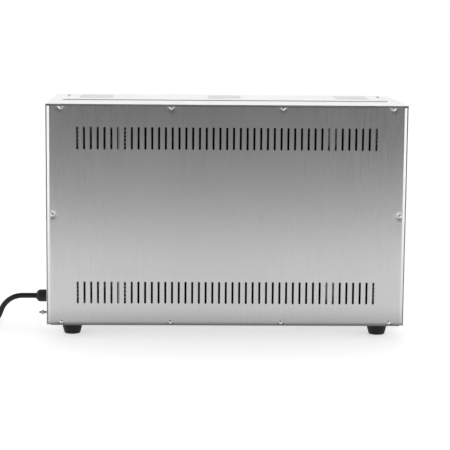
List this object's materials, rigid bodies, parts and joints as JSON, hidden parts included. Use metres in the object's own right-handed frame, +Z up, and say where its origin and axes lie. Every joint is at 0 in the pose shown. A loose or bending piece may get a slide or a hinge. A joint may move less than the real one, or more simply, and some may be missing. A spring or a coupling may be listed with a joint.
{
  "type": "rotisserie oven",
  "caption": "Wide countertop rotisserie oven with a vented stainless casing, hinged glass door, geared spits with forks, drip tray, heaters, controls and a mains cord with a plug.",
  "frame": {"origin": "on the surface the feet stand on, under the middle of the casing (the cord, the earth stud, the door handle and the knobs stand out of the casing and don't move the origin)", "axes": "+Z up; +Y towards the vented back panel; the door and the controls face -Y; +X towards the side with the cable gland"},
  "size_m": [1.102, 0.4244, 0.5236],
  "materials": {
    "stainless_panel": "satin brushed stainless sheet",
    "stainless_cover": "bright brushed stainless sheet",
    "inner_sheet": "mill-finish inner sheet",
    "bright_steel": "polished steel",
    "black_rubber": "matt black rubber",
    "black_plastic": "fine-grained black plastic",
    "cord_sheath": "matt black cord sheath",
    "mineral_wool": "compressed mineral wool",
    "heater_sheath": "oxidised heater sheath",
    "ceramic": "glazed ceramic",
    "clear_glass": "clear tempered glass",
    "gasket": "grey silicone",
    "gear_steel": "machined steel",
    "bronze": "sintered bronze",
    "brass": "machined brass",
    "motor_paint": "dark painted motor case",
    "control_plastic": "moulded phenolic",
    "red_plastic": "glossy red plastic",
    "green_plastic": "glossy green plastic",
    "amber_lens": "glossy amber lens"
  },
  "bodies": {
    "oven_body": {"left_side_panel": "stainless_panel", "right_side_panel": "stainless_panel", "top_panel": "stainless_cover", "top_cover": "stainless_cover", "casing_screws": "bright_steel", "back_panel": "stainless_panel", "rear_frame": "inner_sheet", "bottom_pan": "inner_sheet", "front_frame": "stainless_panel", "control_panel": "stainless_panel", "rubber_feet": "black_rubber", "foot_bolts": "bright_steel", "cavity_back": "inner_sheet", "cavity_top": "inner_sheet", "cavity_left_wall": "inner_sheet", "cavity_right_wall": "inner_sheet", "insulation": "mineral_wool", "rear_heaters": "heater_sheath", "top_heater": "heater_sheath", "heater_fittings": "inner_sheet", "lamp_holder": "ceramic", "lamp_glass": "clear_glass", "tray_runners": "inner_sheet", "spit_rests": "inner_sheet", "drive_frame": "inner_sheet", "shaft_bushes": "bronze", "gear_motor": "motor_paint", "hinge_brackets": "bright_steel", "thermostat": "control_plastic", "timer": "control_plastic", "rocker_housings": "black_plastic", "indicator_lamps": "amber_lens", "terminal_block": "ceramic", "cable_gland": "black_plastic", "earth_stud": "bright_steel", "mains_cord": "cord_sheath", "cord_coil": "cord_sheath", "mains_plug": "black_rubber"},
    "drip_tray": {"drip_tray": "stainless_panel", "drip_tray_front": "stainless_panel"},
    "door": {"door_frame": "stainless_panel", "door_glass": "clear_glass", "door_retainer": "inner_sheet", "door_gasket": "gasket", "door_handle": "bright_steel"},
    "upper_drive": {"upper_drive_shaft": "bright_steel", "upper_drive_gear": "gear_steel"},
    "lower_drive": {"lower_drive_shaft": "bright_steel", "lower_drive_gear": "gear_steel"},
    "motor_pinion": {"motor_pinion": "brass"},
    "upper_spit": {"upper_spit": "bright_steel"},
    "lower_spit": {"lower_spit": "bright_steel"},
    "upper_left_fork": {"upper_left_fork": "bright_steel"},
    "upper_right_fork": {"upper_right_fork": "bright_steel"},
    "lower_left_fork": {"lower_left_fork": "bright_steel"},
    "lower_right_fork": {"lower_right_fork": "bright_steel"},
    "thermostat_knob": {"thermostat_knob": "black_plastic"},
    "timer_knob": {"timer_knob": "black_plastic"},
    "motor_rocker": {"motor_rocker": "red_plastic"},
    "lamp_rocker": {"lamp_rocker": "green_plastic"}
  },
  "joints": [
    {"name": "door_hinge", "type": "hinge", "parent": "oven_body", "child": "door", "pos_m": [-0.3925, -0.19, 0.295], "axis": [0, 0, -1], "range_deg": [0, 110]},
    {"name": "drip_tray_slide", "type": "slide", "parent": "oven_body", "child": "drip_tray", "axis": [0, -1, 0], "range_m": [0, 0.26]},
    {"name": "upper_drive_spin", "type": "hinge", "parent": "oven_body", "child": "upper_drive", "pos_m": [0.25, -0.03, 0.39], "axis": [1, 0, 0], "continuous": true},
    {"name": "lower_drive_spin", "type": "hinge", "parent": "oven_body", "child": "lower_drive", "pos_m": [0.25, -0.03, 0.19], "axis": [1, 0, 0], "continuous": true},
    {"name": "motor_pinion_spin", "type": "hinge", "parent": "oven_body", "child": "motor_pinion", "pos_m": [0.262, -0.03, 0.29], "axis": [1, 0, 0], "continuous": true},
    {"name": "upper_spit_release", "type": "slide", "parent": "upper_drive", "child": "upper_spit", "axis": [-1, 0, 0], "range_m": [0, 0.019]},
    {"name": "lower_spit_release", "type": "slide", "parent": "lower_drive", "child": "lower_spit", "axis": [-1, 0, 0], "range_m": [0, 0.019]},
    {"name": "upper_left_fork_slide", "type": "slide", "parent": "upper_spit", "child": "upper_left_fork", "axis": [1, 0, 0], "range_m": [-0.07, 0.05]},
    {"name": "upper_right_fork_slide", "type": "slide", "parent": "upper_spit", "child": "upper_right_fork", "axis": [-1, 0, 0], "range_m": [-0.055, 0.06]},
    {"name": "lower_left_fork_slide", "type": "slide", "parent": "lower_spit", "child": "lower_left_fork", "axis": [1, 0, 0], "range_m": [-0.07, 0.05]},
    {"name": "lower_right_fork_slide", "type": "slide", "parent": "lower_spit", "child": "lower_right_fork", "axis": [-1, 0, 0], "range_m": [-0.055, 0.06]},
    {"name": "thermostat_turn", "type": "hinge", "parent": "oven_body", "child": "thermostat_knob", "pos_m": [0.321, -0.19, 0.42], "axis": [0, 1, 0], "range_deg": [0, 290]},
    {"name": "timer_turn", "type": "hinge", "parent": "oven_body", "child": "timer_knob", "pos_m": [0.321, -0.19, 0.325], "axis": [0, 1, 0], "range_deg": [0, 320]},
    {"name": "motor_rocker_tilt", "type": "hinge", "parent": "oven_body", "child": "motor_rocker", "pos_m": [0.297, -0.1805, 0.23], "axis": [-1, 0, 0], "range_deg": [0, 16]},
    {"name": "lamp_rocker_tilt", "type": "hinge", "parent": "oven_body", "child": "lamp_rocker", "pos_m": [0.345, -0.1805, 0.23], "axis": [-1, 0, 0], "range_deg": [0, 16]}
  ],
  "couplings": [
    {"joint": "lower_drive_spin", "follows": "upper_drive_spin", "ratio": 1},
    {"joint": "motor_pinion_spin", "follows": "upper_drive_spin", "ratio": -4}
  ]
}
